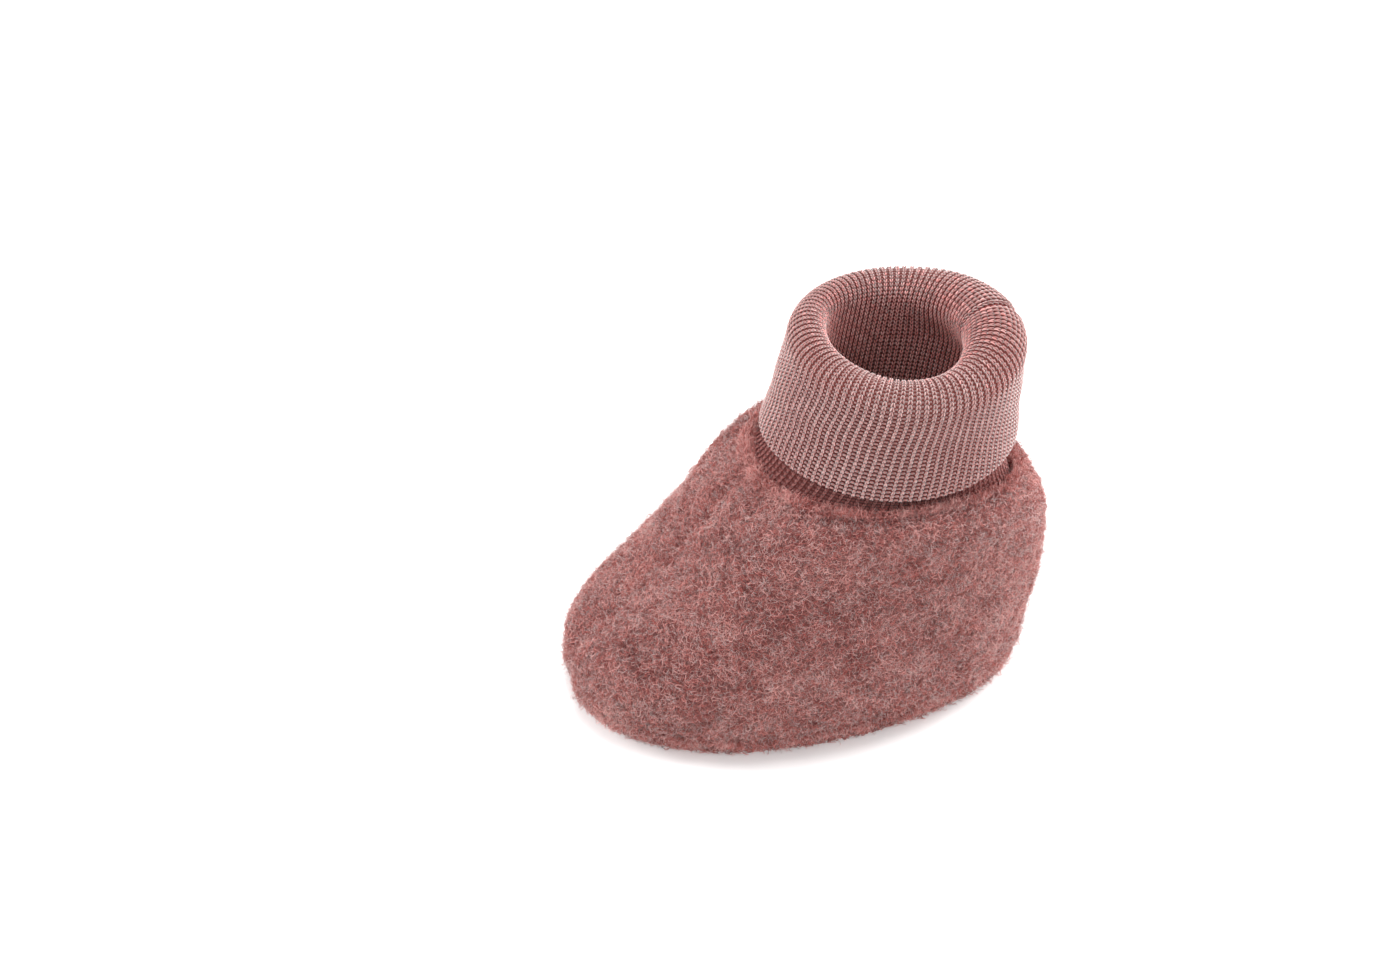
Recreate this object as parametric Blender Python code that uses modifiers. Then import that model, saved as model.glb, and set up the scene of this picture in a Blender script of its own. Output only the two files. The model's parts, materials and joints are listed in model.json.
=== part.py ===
"""Baby bootie with a turned-down rib cuff.

The foot is wool fleece: a sole and two side panels that meet along the toe, along the heel and round the
sole. A knitted rib tube is sewn into the ankle and its upper half is folded down over itself as a cuff.
Overlock threads hold the seams on the inside.

Metres, +Z up. The toe points to -Y, the heel to +Y, and the wearer's left is +X. The origin is the middle
of the bounding box, on the ground.
"""

import math
from collections import namedtuple

import bpy
import numpy as np

MM = 0.001
TOE = math.radians(-90)  # angles round the bootie start at the wearer's left
HEEL = math.radians(90)

# Driving dimensions
HALF_LENGTH = 51.0 * MM  # half the length over the toe and the heel
HALF_WIDTH = 31.6 * MM  # half the width at the ball of the foot
ANKLE_HEIGHT = 52.0 * MM  # the ankle seam, at the side of the foot
HEM_HEIGHT = 56.1 * MM  # the lower edge of the turned-down cuff
FOLD_HEIGHT = 81.1 * MM  # the top of the fold
CUFF_LEAN = math.radians(8.8)  # the cuff leans back towards the heel
CUFF_TRAVEL = 20.0 * MM  # how far the fold can be pulled up
GUIDE_OVERLAP = 3.0 * MM  # what stays inside the neck at the end of that travel
FLEECE = 2.0 * MM  # one layer of wool fleece
RIB = 2.2 * MM  # the doubled rib knit
GAP = 0.3 * MM  # clearance between pieces that touch
SLIDING_GAP = 0.42 * MM  # clearance between the neck and the cuff that slides over it
SEAM_DIP = 1.2 * MM  # how deep the panels turn in at a centre seam
SEAM_REACH = 2.5 * MM  # how fast that dip fades sideways
THREAD_RADIUS = 0.5 * MM

# Mesh density
PANEL_ROWS = 13
PANEL_COLUMNS = 14
SOLE_COLUMNS = 40
TUBE_COLUMNS = 36
THREAD_POINTS = 18

# A ring is a level line round the fleece. Its reaches to the toe and to the heel, and the place of its
# widest point, are shares of HALF_LENGTH; its width is a share of HALF_WIDTH; its heights are shares of
# ANKLE_HEIGHT. A power under 1 makes that end squarer than an oval.
Ring = namedtuple(
    "Ring", "toe heel middle width toe_height side_height heel_height toe_power heel_power"
)
GROUND_RING = Ring(0.885, 0.875, -0.15, 0.83, 0.0, 0.0, 0.0, 0.90, 0.87)
SOLE_SEAM_RING = Ring(0.975, 0.895, -0.125, 0.945, 0.06, 0.06, 0.06, 0.88, 0.88)
FLEECE_RINGS = (
    SOLE_SEAM_RING,
    Ring(1.00, 0.92, -0.115, 1.00, 0.16, 0.16, 0.17, 0.87, 0.90),
    Ring(0.955, 0.955, -0.07, 1.00, 0.295, 0.31, 0.32, 0.86, 0.92),
    Ring(0.80, 1.00, 0.03, 0.945, 0.445, 0.51, 0.525, 0.845, 0.955),
    Ring(0.59, 1.00, 0.16, 0.90, 0.64, 0.75, 0.69, 0.86, 1.00),
    Ring(0.415, 0.945, 0.255, 0.89, 0.855, 0.97, 0.835, 0.91, 1.00),
    Ring(0.235, 0.875, 0.285, 0.78, 1.00, 1.00, 0.87, 1.00, 1.00),
)

# The shares of the way from the sole seam to the ankle seam where the centre seam threads begin and end
THREAD_FOOT_LEVEL = 0.14
FRONT_THREAD_TOP_LEVEL = 0.86
BACK_THREAD_TOP_LEVEL = 0.72

# The sole's rows: shares of the way from its middle to its edge, then the rim's (outward, upward) steps
SOLE_FLAT_ROWS = (0.4, 0.8, 1.0)
SOLE_RIM_ROWS = ((0.55, 0.2), (0.9, 0.6), (1.0, 1.0))

# The neck and the cuff are ovals on one leaning axis. An oval's height, half width and half length are in
# metres; its front stands above its back by twice the tilt, the saddle lifts front and back together, and
# towards_toe moves it off the axis.
Oval = namedtuple("Oval", "height half_width half_length tilt saddle towards_toe")
AXIS_AT_HEM = 16.7 * MM
HEM_TILT = 0.75 * MM
HEM_SADDLE = 1.3 * MM
FOLD_TILT = -0.3 * MM
FOLD_SADDLE = 0.85 * MM

# The outer face of the turned-down layer: half width and half length from the hem up to the fold
CUFF_AT_HEM = (24.0 * MM, 26.4 * MM)
CUFF_AT_MIDDLE = (24.0 * MM, 24.9 * MM)
CUFF_AT_FOLD = (25.4 * MM, 23.6 * MM)
FOLD_RISE = 4.25 * MM  # the fold's half round stands this high above the straight walls
HEM_EDGE = 0.6 * MM  # the rounding of the hem
CUFF_WALL_ROWS = 6
FOLD_ROWS = 9

# The opening inside the fold is narrower and lies nearer the toe than the straight wall below it
MOUTH = (15.3 * MM, 14.0 * MM)
MOUTH_TOWARDS_TOE = 2.0 * MM
INNER_WALL = (16.6 * MM, 15.6 * MM)
FOLD_THICKNESS = 3.2 * MM  # the knit at the top of the fold
POCKET_CORNER = 0.7 * MM
NECK_TOP_CLEARANCE = 0.9 * MM
NECK_FOOT_BELOW_SEAM = 3.5 * MM
NECK_FOOT_INSET = 3.6 * MM  # the rib's sewn edge turns in under the fleece
NECK_ROWS = 6
NECK_SLOPE_SHARES = (0.35, 0.7)  # rows of the slope between the ankle seam and the hem

FOLD_FOOT_HEIGHT = FOLD_HEIGHT - FOLD_RISE
POCKET_TOP = FOLD_HEIGHT - FOLD_THICKNESS
NECK_TOP = POCKET_TOP - NECK_TOP_CLEARANCE
INNER_WALL_FOOT = NECK_TOP - CUFF_TRAVEL - GUIDE_OVERLAP

# Colour and roughness of each cloth
WOOL_FLEECE = ((0.300, 0.128, 0.118), 0.95)
RIB_KNIT = ((0.352, 0.170, 0.160), 0.90)
SEWING_THREAD = ((0.250, 0.095, 0.090), 0.70)


def clear_scene():
    for obj in list(bpy.data.objects):
        bpy.data.objects.remove(obj, do_unlink=True)


def make_collection(name):
    collection = bpy.data.collections.new(name)
    bpy.context.scene.collection.children.link(collection)
    return collection


def make_material(part_name, cloth):
    colour, roughness = cloth
    material = bpy.data.materials.new(part_name + "_material")
    material.use_nodes = True
    shader = material.node_tree.nodes["Principled BSDF"]
    shader.inputs["Base Color"].default_value = (*colour, 1.0)
    shader.inputs["Roughness"].default_value = roughness
    shader.inputs["Metallic"].default_value = 0.0
    return material


def add_object(name, data, cloth, collection):
    obj = bpy.data.objects.new(name, data)
    data.materials.append(make_material(name, cloth))
    collection.objects.link(obj)
    return obj


def add_mesh(name, points, faces, cloth, collection, origin=(0.0, 0.0, 0.0)):
    """Points are in the bootie's own space, wherever the object's origin is."""
    mesh = bpy.data.meshes.new(name)
    mesh.from_pydata([tuple(point - np.array(origin)) for point in points], [], faces)
    mesh.update()
    mesh.shade_smooth()
    obj = add_object(name, mesh, cloth, collection)
    obj.location = origin
    return obj


def add_thread(name, points, closed, collection):
    """A thread is a thin tube along a list of points."""
    curve = bpy.data.curves.new(name, "CURVE")
    curve.dimensions = "3D"
    curve.bevel_depth = THREAD_RADIUS
    curve.bevel_resolution = 1
    curve.use_fill_caps = not closed
    spline = curve.splines.new("POLY")
    spline.points.add(len(points) - 1)
    for spline_point, point in zip(spline.points, points):
        spline_point.co = (*point, 1.0)
    spline.use_cyclic_u = closed
    return add_object(name, curve, SEWING_THREAD, collection)


def loft_faces(rows, columns, closed_columns, closed_rows=False):
    """Quads between neighbouring rows of a grid, with each row's points in order."""
    faces = []
    for row in range(rows if closed_rows else rows - 1):
        for column in range(columns if closed_columns else columns - 1):
            here = row * columns
            above = (row + 1) % rows * columns
            beside = (column + 1) % columns
            faces.append((here + column, here + beside, above + beside, above + column))
    return faces


def flipped(faces):
    return [tuple(reversed(face)) for face in faces]


def add_thickness(obj, thickness):
    """Gives an open surface its thickness on the side away from its normals."""
    solidify = obj.modifiers.new("thickness", "SOLIDIFY")
    solidify.thickness = thickness
    solidify.offset = -1.0
    solidify.use_even_offset = True


# The fleece foot


def ring_point(ring, angle):
    """A point on a ring. Angle 0 is the wearer's left, 90 degrees the heel, -90 degrees the toe."""
    cosine, sine = math.cos(angle), math.sin(angle)
    if sine < 0:
        reach, end_height, power = ring.toe + ring.middle, ring.toe_height, ring.toe_power
    else:
        reach, end_height, power = ring.heel - ring.middle, ring.heel_height, ring.heel_power
    side = math.copysign(abs(cosine) ** power, cosine)
    height = ring.side_height + (end_height - ring.side_height) * sine * sine
    return np.array(
        (
            HALF_WIDTH * ring.width * side,
            HALF_LENGTH * (ring.middle + reach * sine),
            ANKLE_HEIGHT * height,
        )
    )


def fleece_point(level, angle):
    """The smooth outer face of the foot. Level runs from 0 at the sole seam to 1 at the ankle seam."""
    place = level * (len(FLEECE_RINGS) - 1)
    first = min(int(place), len(FLEECE_RINGS) - 2)
    share = place - first
    points = [ring_point(ring, angle) for ring in FLEECE_RINGS]
    points.insert(0, 2 * points[0] - points[1])
    points.append(2 * points[-1] - points[-2])
    before, start, end, after = points[first : first + 4]
    return 0.5 * (
        2 * start
        + (end - before) * share
        + (2 * before - 5 * start + 4 * end - after) * share**2
        + (3 * start - before - 3 * end + after) * share**3
    )


def fleece_normal(level, angle):
    step = 0.002
    low, high = max(level - step, 0.0), min(level + step, 1.0)
    upward = fleece_point(high, angle) - fleece_point(low, angle)
    around = fleece_point(level, angle + step) - fleece_point(level, angle - step)
    normal = np.cross(around, upward)
    return normal / np.linalg.norm(normal)


def sunk_point(level, angle, depth):
    return fleece_point(level, angle) - depth * fleece_normal(level, angle)


def panel_point(level, angle):
    """The outer face of a side panel, which turns in towards the toe and heel seams."""
    across = abs(fleece_point(level, angle)[0])
    return sunk_point(level, angle, SEAM_DIP * math.exp(-across / SEAM_REACH))


def panel_angles():
    """Angles from the toe seam to the heel seam on the wearer's left, closer together near the seams."""
    shares = np.linspace(-1.0, 1.0, PANEL_COLUMNS)
    return [HEEL * math.sin(share * HEEL) for share in shares]


def add_side_panel(name, side, collection):
    """Side is +1 for the wearer's left panel and -1 for the right one."""
    points = []
    seam_columns = (0, PANEL_COLUMNS - 1)
    for level in np.linspace(0.0, 1.0, PANEL_ROWS):
        for column, angle in enumerate(panel_angles()):
            point = panel_point(level, angle)
            point[2] += 2 * GAP * (1.0 - level)
            if column in seam_columns:
                point[0] = GAP / 2
            points.append((side * point[0], point[1], point[2]))
    faces = loft_faces(PANEL_ROWS, PANEL_COLUMNS, closed_columns=False)
    if side < 0:
        faces = flipped(faces)
    panel = add_mesh(name, points, faces, WOOL_FLEECE, collection)
    add_thickness(panel, FLEECE)
    return panel


def add_sole(collection):
    """A shallow dish: flat on the ground, with a rim that curls up to the sole seam."""
    angles = np.linspace(0.0, 2 * math.pi, SOLE_COLUMNS, endpoint=False)
    ground = [ring_point(GROUND_RING, angle) for angle in angles]
    seam = [ring_point(SOLE_SEAM_RING, angle) for angle in angles]
    middle = np.array((0.0, HALF_LENGTH * GROUND_RING.middle, 0.0))
    points = [middle]
    for share in SOLE_FLAT_ROWS:
        points += [middle + share * (point - middle) for point in ground]
    for outward, upward in SOLE_RIM_ROWS:
        for low, high in zip(ground, seam):
            point = low + outward * (high - low)
            point[2] = upward * high[2]
            points.append(point)
    faces = [(0, 1 + (column + 1) % SOLE_COLUMNS, 1 + column) for column in range(SOLE_COLUMNS)]
    rows = (len(points) - 1) // SOLE_COLUMNS
    grid = loft_faces(rows, SOLE_COLUMNS, closed_columns=True)
    faces += [tuple(1 + index for index in face) for face in grid]
    sole = add_mesh("sole", points, faces, WOOL_FLEECE, collection)
    add_thickness(sole, FLEECE)
    return sole


# The rib neck and the cuff


def between(low, high, share):
    return low + (high - low) * share


def oval_at(height, size, towards_toe=0.0):
    """An oval of the cuff of a (half width, half length), with the tilt and saddle of its height."""
    share = (height - HEM_HEIGHT) / (FOLD_HEIGHT - HEM_HEIGHT)
    tilt = between(HEM_TILT, FOLD_TILT, share)
    saddle = between(HEM_SADDLE, FOLD_SADDLE, share)
    return Oval(height, size[0], size[1], tilt, saddle, towards_toe)


def oval_point(oval, angle):
    cosine, sine = math.cos(angle), math.sin(angle)
    height = oval.height - oval.tilt * sine - oval.saddle * math.cos(2 * angle)
    axis = AXIS_AT_HEM + (height - HEM_HEIGHT) * math.tan(CUFF_LEAN) - oval.towards_toe
    return np.array((oval.half_width * cosine, axis + oval.half_length * sine, height))


def blended(start, end, share):
    """A (half width, half length) part of the way between two others."""
    return between(start[0], end[0], share), between(start[1], end[1], share)


def inset_by(size, inset):
    return size[0] - inset, size[1] - inset


def cuff_wall(height, inset):
    """The oval of the turned-down layer at a height, moved in from its outer face."""
    middle_height = (HEM_HEIGHT + FOLD_FOOT_HEIGHT) / 2
    if height < middle_height:
        share = (height - HEM_HEIGHT) / (middle_height - HEM_HEIGHT)
        start, end = CUFF_AT_HEM, CUFF_AT_MIDDLE
    else:
        share = (height - middle_height) / (FOLD_FOOT_HEIGHT - middle_height)
        start, end = CUFF_AT_MIDDLE, CUFF_AT_FOLD
    eased = share * share * (3 - 2 * share)
    return oval_at(height, inset_by(blended(start, end, eased), inset))


def fold_ovals():
    """The half round of the fold, from the outer wall over to the mouth."""
    ovals = []
    for turn in np.linspace(0.0, math.pi, FOLD_ROWS)[1:]:
        height = between(FOLD_FOOT_HEIGHT, FOLD_HEIGHT, math.sin(turn))
        across = (1 - math.cos(turn)) / 2
        size = blended(CUFF_AT_FOLD, MOUTH, across)
        ovals.append(oval_at(height, size, across * MOUTH_TOWARDS_TOE))
    return ovals


def cuff_section():
    """The closed section of the folded cuff, from the hem up its outer face and back down the inside."""
    outer_heights = np.linspace(HEM_HEIGHT + 2 * HEM_EDGE, FOLD_FOOT_HEIGHT, CUFF_WALL_ROWS)
    section = [cuff_wall(HEM_HEIGHT, RIB / 2 + HEM_EDGE), cuff_wall(HEM_HEIGHT, HEM_EDGE)]
    section += [cuff_wall(height, 0.0) for height in outer_heights]
    section += fold_ovals()
    wall_heights = np.linspace(FOLD_FOOT_HEIGHT - FOLD_RISE, INNER_WALL_FOOT, 3)
    section += [oval_at(height, INNER_WALL) for height in wall_heights]
    pocket_inside = inset_by(INNER_WALL, -RIB)
    pocket_outside = inset_by(CUFF_AT_MIDDLE, RIB)
    pocket_outside = (pocket_outside[0], CUFF_AT_FOLD[1] - RIB)
    pocket_shoulder = POCKET_TOP - POCKET_CORNER
    for height in np.linspace(INNER_WALL_FOOT, pocket_shoulder, 3):
        section.append(oval_at(height, pocket_inside))
    section.append(oval_at(POCKET_TOP, inset_by(pocket_inside, -POCKET_CORNER)))
    section.append(oval_at(POCKET_TOP, inset_by(pocket_outside, POCKET_CORNER)))
    section.append(oval_at(pocket_shoulder, pocket_outside))
    section += [cuff_wall(height, RIB) for height in reversed(outer_heights[:-1])]
    return section


def add_cuff(collection):
    """The cuff's origin is where the hem's plane cuts the axis that the cuff slides along."""
    angles = np.linspace(0.0, 2 * math.pi, TUBE_COLUMNS, endpoint=False)
    section = cuff_section()
    points = [oval_point(oval, angle) for oval in section for angle in angles]
    faces = loft_faces(len(section), TUBE_COLUMNS, closed_columns=True, closed_rows=True)
    on_axis = (0.0, AXIS_AT_HEM, HEM_HEIGHT)
    return add_mesh("cuff_turnover", points, faces, RIB_KNIT, collection, on_axis)


def neck_wall(height):
    """The neck inside the cuff, clear of every part of the cuff that slides past it."""
    oval = cuff_wall(min(height, FOLD_FOOT_HEIGHT), RIB + SLIDING_GAP)
    narrowest = CUFF_AT_MIDDLE[0] - RIB - SLIDING_GAP
    return oval._replace(height=height, half_width=min(oval.half_width, narrowest))


def neck_ovals():
    """The outer face of the rib neck, from inside the ankle seam up into the fold."""
    ankle = FLEECE_RINGS[-1]
    half_width = HALF_WIDTH * ankle.width - 3 * GAP
    half_length = HALF_LENGTH * (ankle.toe + ankle.heel) / 2 - 3 * GAP
    end_height = (ankle.toe_height + ankle.heel_height) / 2
    tilt = ANKLE_HEIGHT * (ankle.toe_height - ankle.heel_height) / 2
    saddle = ANKLE_HEIGHT * (end_height - ankle.side_height) / 2
    seam = Oval(ANKLE_HEIGHT * ankle.side_height + saddle, half_width, half_length, tilt, saddle, 0.0)
    foot = seam._replace(
        height=seam.height - NECK_FOOT_BELOW_SEAM,
        half_width=half_width - NECK_FOOT_INSET,
        half_length=half_length - NECK_FOOT_INSET,
    )
    hem = neck_wall(HEM_HEIGHT + HEM_EDGE)
    ovals = [foot, seam]
    for share in NECK_SLOPE_SHARES:
        eased = 1 - (1 - share) ** 2
        ovals.append(
            Oval(
                between(seam.height, hem.height, share),
                between(seam.half_width, hem.half_width, eased),
                between(seam.half_length, hem.half_length, eased),
                between(seam.tilt, hem.tilt, share),
                between(seam.saddle, hem.saddle, share),
                0.0,
            )
        )
    ovals += [neck_wall(height) for height in np.linspace(hem.height, NECK_TOP, NECK_ROWS)]
    return ovals


def add_neck(collection):
    angles = np.linspace(0.0, 2 * math.pi, TUBE_COLUMNS, endpoint=False)
    ovals = neck_ovals()
    points = [oval_point(oval, angle) for oval in ovals for angle in angles]
    faces = loft_faces(len(ovals), TUBE_COLUMNS, closed_columns=True)
    neck = add_mesh("ankle_rib", points, faces, RIB_KNIT, collection)
    add_thickness(neck, RIB)
    return neck


# The seam threads, all on the inside


def add_centre_seam_thread(name, angle, top_level, collection):
    depth = SEAM_DIP + FLEECE + 2 * GAP + THREAD_RADIUS
    points = []
    for level in np.linspace(THREAD_FOOT_LEVEL, top_level, THREAD_POINTS):
        point = sunk_point(level, angle, depth)
        point[0] = 0.0
        points.append(point)
    return add_thread(name, points, False, collection)


def add_sole_seam_thread(collection):
    """Runs round the inside corner between the sole and the side panels."""
    inset = FLEECE + 2 * GAP + THREAD_RADIUS
    angles = np.linspace(0.0, 2 * math.pi, SOLE_COLUMNS, endpoint=False)
    points = [sunk_point(0.0, angle, inset + FLEECE / 2) for angle in angles]
    return add_thread("sole_seam_thread", points, True, collection)


def add_ankle_seam_thread(collection):
    """Runs round the rib's sewn edge, under the top edge of the fleece."""
    foot = neck_ovals()[0]
    standoff = 2 * GAP + THREAD_RADIUS
    oval = foot._replace(
        half_width=foot.half_width + standoff, half_length=foot.half_length + standoff
    )
    angles = np.linspace(0.0, 2 * math.pi, TUBE_COLUMNS, endpoint=False)
    points = [oval_point(oval, angle) for angle in angles]
    return add_thread("ankle_seam_thread", points, True, collection)


def build():
    clear_scene()
    collection = make_collection("baby_bootie")
    add_sole(collection)
    add_side_panel("left_side_panel", 1, collection)
    add_side_panel("right_side_panel", -1, collection)
    add_neck(collection)
    add_cuff(collection)
    add_centre_seam_thread("front_seam_thread", TOE, FRONT_THREAD_TOP_LEVEL, collection)
    add_centre_seam_thread("back_seam_thread", HEEL, BACK_THREAD_TOP_LEVEL, collection)
    add_sole_seam_thread(collection)
    add_ankle_seam_thread(collection)


build()
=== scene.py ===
"""The looks of the baby bootie: brushed wool fleece, a folded rib-knit cuff, seams, light and camera.

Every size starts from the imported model's own boxes. Metres, +Z up; the toe points to -Y.
"""

import json
import math
from collections import namedtuple

import bpy
import numpy as np
from mathutils import Matrix, Vector, noise


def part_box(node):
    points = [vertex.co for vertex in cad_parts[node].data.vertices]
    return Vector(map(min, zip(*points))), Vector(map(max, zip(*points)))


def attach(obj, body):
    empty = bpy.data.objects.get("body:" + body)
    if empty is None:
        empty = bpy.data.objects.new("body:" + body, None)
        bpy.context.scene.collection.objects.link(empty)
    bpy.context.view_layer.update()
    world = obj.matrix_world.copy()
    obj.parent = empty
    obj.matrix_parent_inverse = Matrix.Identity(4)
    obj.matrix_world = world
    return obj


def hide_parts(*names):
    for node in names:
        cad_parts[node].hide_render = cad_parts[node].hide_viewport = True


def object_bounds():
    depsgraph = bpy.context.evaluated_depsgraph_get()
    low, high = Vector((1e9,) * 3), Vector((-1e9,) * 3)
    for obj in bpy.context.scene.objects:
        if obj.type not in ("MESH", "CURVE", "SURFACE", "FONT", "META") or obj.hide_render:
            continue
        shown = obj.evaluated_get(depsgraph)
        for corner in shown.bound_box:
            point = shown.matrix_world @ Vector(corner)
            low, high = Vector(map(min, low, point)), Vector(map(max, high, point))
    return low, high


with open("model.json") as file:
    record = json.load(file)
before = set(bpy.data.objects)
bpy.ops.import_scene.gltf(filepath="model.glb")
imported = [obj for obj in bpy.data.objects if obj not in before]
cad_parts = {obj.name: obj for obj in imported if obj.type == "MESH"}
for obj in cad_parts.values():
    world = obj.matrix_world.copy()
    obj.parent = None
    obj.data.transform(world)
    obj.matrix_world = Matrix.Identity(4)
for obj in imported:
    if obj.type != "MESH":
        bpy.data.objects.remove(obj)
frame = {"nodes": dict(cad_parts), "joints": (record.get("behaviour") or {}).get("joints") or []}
CAD_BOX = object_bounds()

MM = 0.001
RANDOM = np.random.default_rng(20)


# Sizes read from the frame

CAD_LOW, CAD_HIGH = (np.array(corner) for corner in CAD_BOX)
CUFF_LOW, CUFF_HIGH = (np.array(corner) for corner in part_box("cuff_turnover"))
SLIDE = Vector(frame["joints"][0]["axis"]).normalized()

SEAM_TUCK = 0.48 * MM  # the seams turn in at the toe and at the heel
SIDE_PUFF = 0.3 * MM
HALF_LENGTH = (CAD_HIGH[1] - CAD_LOW[1]) / 2 + SEAM_TUCK
HALF_WIDTH = (CAD_HIGH[0] - CAD_LOW[0]) / 2 + SIDE_PUFF
ANKLE_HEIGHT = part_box("left_side_panel")[1][2]

CUFF_LEAN = math.atan2(SLIDE.y, SLIDE.z)
HEM_HEIGHT = CUFF_LOW[2] + 3.5 * MM  # the inner wall hangs lower than the hem
FOLD_HEIGHT = CUFF_HIGH[2] - 1.15 * MM  # the fold is highest at the heel
CUFF_HALF_WIDTH = (CUFF_HIGH[0] - CUFF_LOW[0]) / 2
AXIS_AT_HEM = (CUFF_LOW[1] + CUFF_HIGH[1]) / 2 - 0.56 * MM  # the lean shifts the hem

FLEECE = 2.0 * MM  # how thick the two cloths are, and the gaps between pieces
RIB = 2.2 * MM
GAP = 0.3 * MM
SLIDING_GAP = 0.42 * MM


# The smooth forms, the same as the model's own

Ring = namedtuple(
    "Ring", "toe heel middle width toe_height side_height heel_height toe_power heel_power"
)
GROUND_RING = Ring(0.885, 0.875, -0.15, 0.83, 0.0, 0.0, 0.0, 0.90, 0.87)
SOLE_SEAM_RING = Ring(0.975, 0.895, -0.125, 0.945, 0.06, 0.06, 0.06, 0.88, 0.88)
FLEECE_RINGS = (
    SOLE_SEAM_RING,
    Ring(1.00, 0.92, -0.115, 1.00, 0.16, 0.16, 0.17, 0.87, 0.90),
    Ring(0.955, 0.955, -0.07, 1.00, 0.295, 0.31, 0.32, 0.86, 0.92),
    Ring(0.80, 1.00, 0.03, 0.945, 0.445, 0.51, 0.525, 0.845, 0.955),
    Ring(0.59, 1.00, 0.16, 0.90, 0.64, 0.75, 0.69, 0.86, 1.00),
    Ring(0.415, 0.945, 0.255, 0.89, 0.855, 0.97, 0.835, 0.91, 1.00),
    Ring(0.235, 0.875, 0.285, 0.78, 1.00, 1.00, 0.87, 1.00, 1.00),
)

# The last three: how far it moves to the toe, reaches to the wearer's right and gathers its ribs
Oval = namedtuple(
    "Oval", "height half_width half_length tilt saddle towards_toe right_reach gather",
    defaults=(0.0, 0.0, 0.0),
)
HEM_TILT = 0.75 * MM
HEM_SADDLE = 1.3 * MM
FOLD_TILT = -0.3 * MM
FOLD_SADDLE = 0.85 * MM
CUFF_AT_HEM = (CUFF_HALF_WIDTH - 1.4 * MM, CUFF_HALF_WIDTH + 1.0 * MM)
CUFF_AT_MIDDLE = (CUFF_HALF_WIDTH - 1.4 * MM, CUFF_HALF_WIDTH - 0.5 * MM)
CUFF_AT_FOLD = (CUFF_HALF_WIDTH, CUFF_HALF_WIDTH - 1.8 * MM)
FOLD_FOOT_HEIGHT = FOLD_HEIGHT - 4.25 * MM
MOUTH = (15.3 * MM, 14.0 * MM)
MOUTH_TOWARDS_TOE = 2.0 * MM
MOUTH_RIGHT_REACH = 2.4 * MM
MOUTH_GATHER = 0.03
INNER_WALL = (16.6 * MM, 15.6 * MM)
INNER_WALL_RIGHT_REACH = 1.2 * MM
INNER_WALL_FOOT = HEM_HEIGHT - 2.1 * MM
POCKET_TOP = FOLD_HEIGHT - 3.2 * MM
NECK_TOP = POCKET_TOP - 0.9 * MM
NECK_FOOT_BELOW_SEAM = 3.5 * MM
NECK_FOOT_INSET = 3.6 * MM

# The knit
RIB_COUNT = 88
COURSE = 0.9 * MM


def ring_points(ring, angles):
    """Points on a ring. Angle 0 is the wearer's left, 90 degrees the heel, -90 degrees the toe."""
    cosine, sine = np.cos(angles), np.sin(angles)
    toe_side = sine < 0
    reach = np.where(toe_side, ring.toe + ring.middle, ring.heel - ring.middle)
    end_height = np.where(toe_side, ring.toe_height, ring.heel_height)
    power = np.where(toe_side, ring.toe_power, ring.heel_power)
    side = np.sign(cosine) * np.abs(cosine) ** power
    height = ring.side_height + (end_height - ring.side_height) * sine * sine
    across = HALF_WIDTH * ring.width * side
    along = HALF_LENGTH * (ring.middle + reach * sine)
    return np.stack((across, along, ANKLE_HEIGHT * height), axis=-1)


def fleece_surface(levels, angles):
    """The outer face of the foot as rows of points. Level 0 is the sole seam, 1 the ankle seam."""
    rings = np.array([ring_points(ring, angles) for ring in FLEECE_RINGS])
    rings = np.concatenate((2 * rings[:1] - rings[1:2], rings, 2 * rings[-1:] - rings[-2:-1]))
    place = np.asarray(levels) * (len(FLEECE_RINGS) - 1)
    first = np.minimum(place.astype(int), len(FLEECE_RINGS) - 2)
    share = (place - first)[:, None, None]
    before, start, end, after = (rings[first + step] for step in range(4))
    return 0.5 * (
        2 * start
        + (end - before) * share
        + (2 * before - 5 * start + 4 * end - after) * share**2
        + (3 * start - before - 3 * end + after) * share**3
    )


def full_turn(count):
    """Angles evenly apart round a full turn."""
    return np.linspace(0, 2 * math.pi, count, endpoint=False)


def even_angles(count, level=0.3):
    """Angles from the toe seam to the heel seam, evenly apart along the fleece."""
    fine = np.linspace(-math.pi / 2, math.pi / 2, 2001)
    curve = fleece_surface([level], fine)[0]
    walked = np.concatenate(([0], np.cumsum(np.linalg.norm(np.diff(curve, axis=0), axis=1))))
    return np.interp(np.linspace(0, walked[-1], count), walked, fine)


def between(low, high, share):
    return low + (high - low) * share


def smooth_share(share):
    """0 up to 0, 1 from 1 on, and a soft slope between them."""
    share = np.clip(share, 0, 1)
    return share * share * (3 - 2 * share)


def bell(place):
    """1 at 0, and soon next to nothing on either side of it."""
    return np.exp(-(place**2))


Window = namedtuple("Window", "start rise end fall")


def within(window, places):
    """1 from the window's start to its end, with soft steps as long as its rise and its fall."""
    risen = smooth_share((places - window.start) / window.rise)
    return risen * (1 - smooth_share((places - window.end) / window.fall))


def blended(start, end, share):
    """Two pairs of numbers, mixed."""
    return between(start[0], end[0], share), between(start[1], end[1], share)


def inset_by(size, inset):
    return size[0] - inset, size[1] - inset


def oval_at(height, size, towards_toe=0.0, right_reach=0.0, gather=0.0):
    share = (height - HEM_HEIGHT) / (FOLD_HEIGHT - HEM_HEIGHT)
    tilt = between(HEM_TILT, FOLD_TILT, share)
    saddle = between(HEM_SADDLE, FOLD_SADDLE, share)
    return Oval(height, size[0], size[1], tilt, saddle, towards_toe, right_reach, gather)


RIGHT_REACH_TURN = 1.3  # how soon the reach to the wearer's right sets in


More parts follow.
